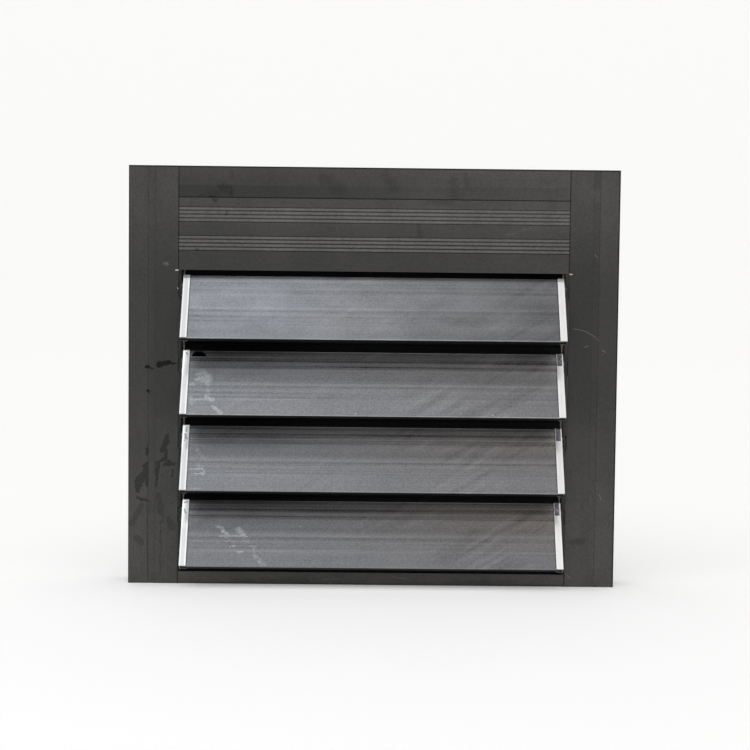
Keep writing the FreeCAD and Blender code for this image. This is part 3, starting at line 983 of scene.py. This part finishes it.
HEAD_DEPTH = 2.0 * MM
HEAD_PROUD = 0.15 * MM
SCREW_DEPTHS = (-12.0 * MM, 12.0 * MM)


def zinc():
    """Dulled zinc of the screws."""
    given = settings().hardware
    f = Finish("zinc_screws")
    turned = f.noise(f.point, 1800.0, detail=2.0)
    cloud = f.noise(f.point, 300.0, detail=3.0)
    colour = f.shade(tuple(given.screw), 1.0 + turned * 0.05 + cloud * 0.12)
    return f.finished({"Base Color": colour, "Roughness": 0.36 + cloud * 0.06, "Metallic": 1.0},
                      turned, strength=0.1, distance=0.2 * MM)


def inside(face, radius):
    """True where all of a face lies within a radius of the axis."""
    return all(math.hypot(vert.co.x, vert.co.y) < radius for vert in face.verts)


def screw_head_mesh(radius):
    """Countersunk head with a cross recess, its face upwards, just proud of the origin's level."""
    bm = bmesh.new()
    bmesh.ops.create_cone(bm, cap_ends=True, segments=32, depth=HEAD_DEPTH,
                          radius1=radius * 0.5, radius2=radius)
    bmesh.ops.translate(bm, verts=bm.verts[:], vec=(0.0, 0.0, HEAD_PROUD - HEAD_DEPTH / 2))
    level = max(vert.co.z for vert in bm.verts)
    rim = [edge for edge in bm.edges if all(abs(vert.co.z - level) < 1e-6 for vert in edge.verts)]
    bmesh.ops.bevel(bm, geom=rim, offset=radius * 0.07, affect="EDGES", segments=2, profile=0.5, material=-1)
    top = max(bm.faces, key=lambda face: face.calc_center_median().z)
    bmesh.ops.inset_region(bm, faces=[top], thickness=radius * 0.2)
    half = radius * 0.13
    reach = radius * 0.56
    for axis in (Vector((1.0, 0.0, 0.0)), Vector((0.0, 1.0, 0.0))):
        for offset in (-reach, -half, half, reach):
            flat = [face for face in bm.faces if face.normal.z > 0.99 and inside(face, radius * 0.825)]
            edges = {edge for face in flat for edge in face.edges}
            verts = {vert for face in flat for vert in face.verts}
            cut = flat + list(edges) + list(verts)
            bmesh.ops.bisect_plane(bm, geom=cut, plane_co=axis * offset, plane_no=axis)
    cross = []
    for face in bm.faces:
        centre = face.calc_center_median()
        near, far = sorted((abs(centre.x), abs(centre.y)))
        if face.normal.z > 0.99 and near < half and far < reach:
            cross.append(face)
    sunken = bmesh.ops.extrude_face_region(bm, geom=cross)["geom"]
    floor = among(sunken, bmesh.types.BMVert)
    bmesh.ops.translate(bm, verts=floor, vec=(0.0, 0.0, -radius * 0.36))
    bmesh.ops.scale(bm, verts=floor, vec=(0.7, 0.7, 1.0))
    bmesh.ops.recalc_face_normals(bm, faces=bm.faces[:])
    return bm


class AddFrameScrews(bpy.types.Operator):
    """Drive countersunk screws through the stiles into the ends of the top rail and the sill"""
    bl_idname = "louvre_window.add_frame_screws"
    bl_label = "Add the Frame Screws"

    def execute(self, context):
        material = zinc()
        rail_low, rail_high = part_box("top_rail")
        heights = ((rail_low.z + rail_high.z) / 2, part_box("sill")[0].z + 7.0 * MM)
        for side, sign in SIDES.items():
            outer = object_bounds()[0][0] if sign < 0 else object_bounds()[1][0]
            bm = screw_head_mesh(settings().hardware.screw_head / 2)
            head = bm.verts[:] + bm.edges[:] + bm.faces[:]
            turn = Matrix.Rotation(sign * math.radians(90.0), 4, "Y")
            for height in heights:
                for depth in SCREW_DEPTHS:
                    made = bmesh.ops.duplicate(bm, geom=head)["geom"]
                    seat = Matrix.Translation((outer, depth, height)) @ turn
                    bmesh.ops.transform(bm, matrix=seat, verts=among(made, bmesh.types.BMVert))
            bmesh.ops.delete(bm, geom=head, context="VERTS")
            add_piece("%s_frame_screws" % side, bm, material)
        return {"FINISHED"}


# Studio, in metres, with the camera at the photo's angle

SWEEP_HALF = 7.0
BEND_START = 4.0
BEND_RADIUS = 1.6
BEND_STEPS = 24
WALL_RISE = 4.0
AIR_COLOUR = (0.985, 0.98, 0.985, 1.0)
CAMERA_X = -0.0173
CAMERA_AWAY = 2.2
CAMERA_Z = 0.4028
CAMERA_PAN = math.radians(-0.513)
CAMERA_TILT = math.radians(-3.704)
CAMERA_ROLL = math.radians(-0.631)


def paper():
    """Matt pale paper."""
    given = settings().stage
    f = Finish("studio_paper")
    fibre = f.noise(f.point, 60.0, detail=4.0)
    colour = f.shade(tuple(given.paper), 1.0 + fibre * 0.004)
    return f.finished({"Base Color": colour, "Roughness": 0.9, "Specular IOR Level": 0.1,
                       "Emission Color": colour, "Emission Strength": 0.26})


def hang_soft_box():
    """Hang a wide soft light above the window, to the left of it and in front."""
    lamp = bpy.data.lights.new("soft_box", "AREA")
    lamp.shape = "RECTANGLE"
    lamp.size = 1.8
    lamp.size_y = 1.6
    lamp.energy = 7.5
    lamp.color = (0.86, 0.95, 1.0)
    held = bpy.data.objects.new("soft_box", lamp)
    held.location = (-0.75, -1.25, 2.2)
    aim = Vector((-0.1, 0.0, 0.25)) - held.location
    held.rotation_euler = aim.to_track_quat("-Z", "Y").to_euler()
    bpy.context.scene.collection.objects.link(held)


def paper_sweep_mesh():
    """Floor that bends up into a backdrop."""
    bm = bmesh.new()
    front = bm.edges.new([bm.verts.new((x, -SWEEP_HALF, 0.0)) for x in (-SWEEP_HALF, SWEEP_HALF)])
    floor = bmesh.ops.extrude_edge_only(bm, edges=[front])["geom"]
    bmesh.ops.translate(bm, verts=among(floor, bmesh.types.BMVert), vec=(0.0, SWEEP_HALF + BEND_START, 0.0))
    back = [edge for edge in among(floor, bmesh.types.BMEdge) if all(vert.co.y > 0.0 for vert in edge.verts)]
    bent = bmesh.ops.spin(bm, geom=back, cent=(0.0, BEND_START, BEND_RADIUS), axis=(1.0, 0.0, 0.0),
                          angle=math.radians(90.0), steps=BEND_STEPS, use_merge=False)["geom_last"]
    wall = bmesh.ops.extrude_edge_only(bm, edges=among(bent, bmesh.types.BMEdge))["geom"]
    bmesh.ops.translate(bm, verts=among(wall, bmesh.types.BMVert), vec=(0.0, 0.0, WALL_RISE))
    bmesh.ops.recalc_face_normals(bm, faces=bm.faces[:])
    for face in bm.faces:
        face.smooth = True
    return bm


class SetStage(bpy.types.Operator):
    """Lay the pale paper sweep, hang the soft light and place the camera"""
    bl_idname = "louvre_window.set_stage"
    bl_label = "Set the Stage"

    def execute(self, context):
        scene = context.scene
        given = settings().stage
        sweep = make_object("paper_sweep", paper_sweep_mesh(), paper())
        sweep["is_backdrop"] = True

        world = bpy.data.worlds.new("studio_air")
        world.use_nodes = True
        background = world.node_tree.nodes["Background"]
        background.inputs["Color"].default_value = AIR_COLOUR
        background.inputs["Strength"].default_value = given.air
        scene.world = world
        hang_soft_box()

        lens = bpy.data.cameras.new("camera")
        lens.lens = given.lens
        lens.sensor_width = 36.0
        camera = bpy.data.objects.new("camera", lens)
        turn = (Matrix.Rotation(CAMERA_PAN, 4, "Z") @ Matrix.Rotation(CAMERA_TILT, 4, "X")
                @ Matrix.Rotation(CAMERA_ROLL, 4, "Y") @ Matrix.Rotation(math.radians(90.0), 4, "X"))
        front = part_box("left_stile")[0].y
        camera.matrix_world = Matrix.Translation((CAMERA_X, front - CAMERA_AWAY, CAMERA_Z)) @ turn
        scene.collection.objects.link(camera)
        scene.camera = camera
        scene.view_settings.view_transform = "Standard"
        return {"FINISHED"}


class LouvreWindowPanel(bpy.types.Panel):
    """Settings and steps of the louvre window"""
    bl_idname = "VIEW3D_PT_louvre_window"
    bl_label = "Louvre Window"
    bl_space_type = "VIEW_3D"
    bl_region_type = "UI"
    bl_category = "Louvre Window"

    def draw(self, context):
        given = settings()
        for name in type(given).__annotations__:
            group = getattr(given, name)
            box = self.layout.box()
            box.label(text=name.capitalize())
            for value in type(group).__annotations__:
                box.prop(group, value)
        for step in STEPS:
            self.layout.operator(step.bl_idname)


STEPS = (CoatStiles, CoatHeader, CoatSill, FinishBlades, FinishClips, FinishBushes,
         AddPileStrips, AddFrameScrews, SetStage)
GROUPS = (CoatSettings, BladeSettings, HardwareSettings, StageSettings, LouvreWindowSettings)
CLASSES = GROUPS + STEPS + (LouvreWindowPanel,)


def register():
    for kind in CLASSES:
        bpy.utils.register_class(kind)
    bpy.types.Scene.louvre_window = bpy.props.PointerProperty(type=LouvreWindowSettings)


def unregister():
    del bpy.types.Scene.louvre_window
    for kind in reversed(CLASSES):
        bpy.utils.unregister_class(kind)


def main():
    register()
    bpy.ops.louvre_window.coat_stiles()
    bpy.ops.louvre_window.coat_header()
    bpy.ops.louvre_window.coat_sill()
    bpy.ops.louvre_window.finish_blades()
    bpy.ops.louvre_window.finish_clips()
    bpy.ops.louvre_window.finish_bushes()
    bpy.ops.louvre_window.add_pile_strips()
    bpy.ops.louvre_window.add_frame_screws()
    bpy.ops.louvre_window.set_stage()


if __name__ == "__main__":
    main()
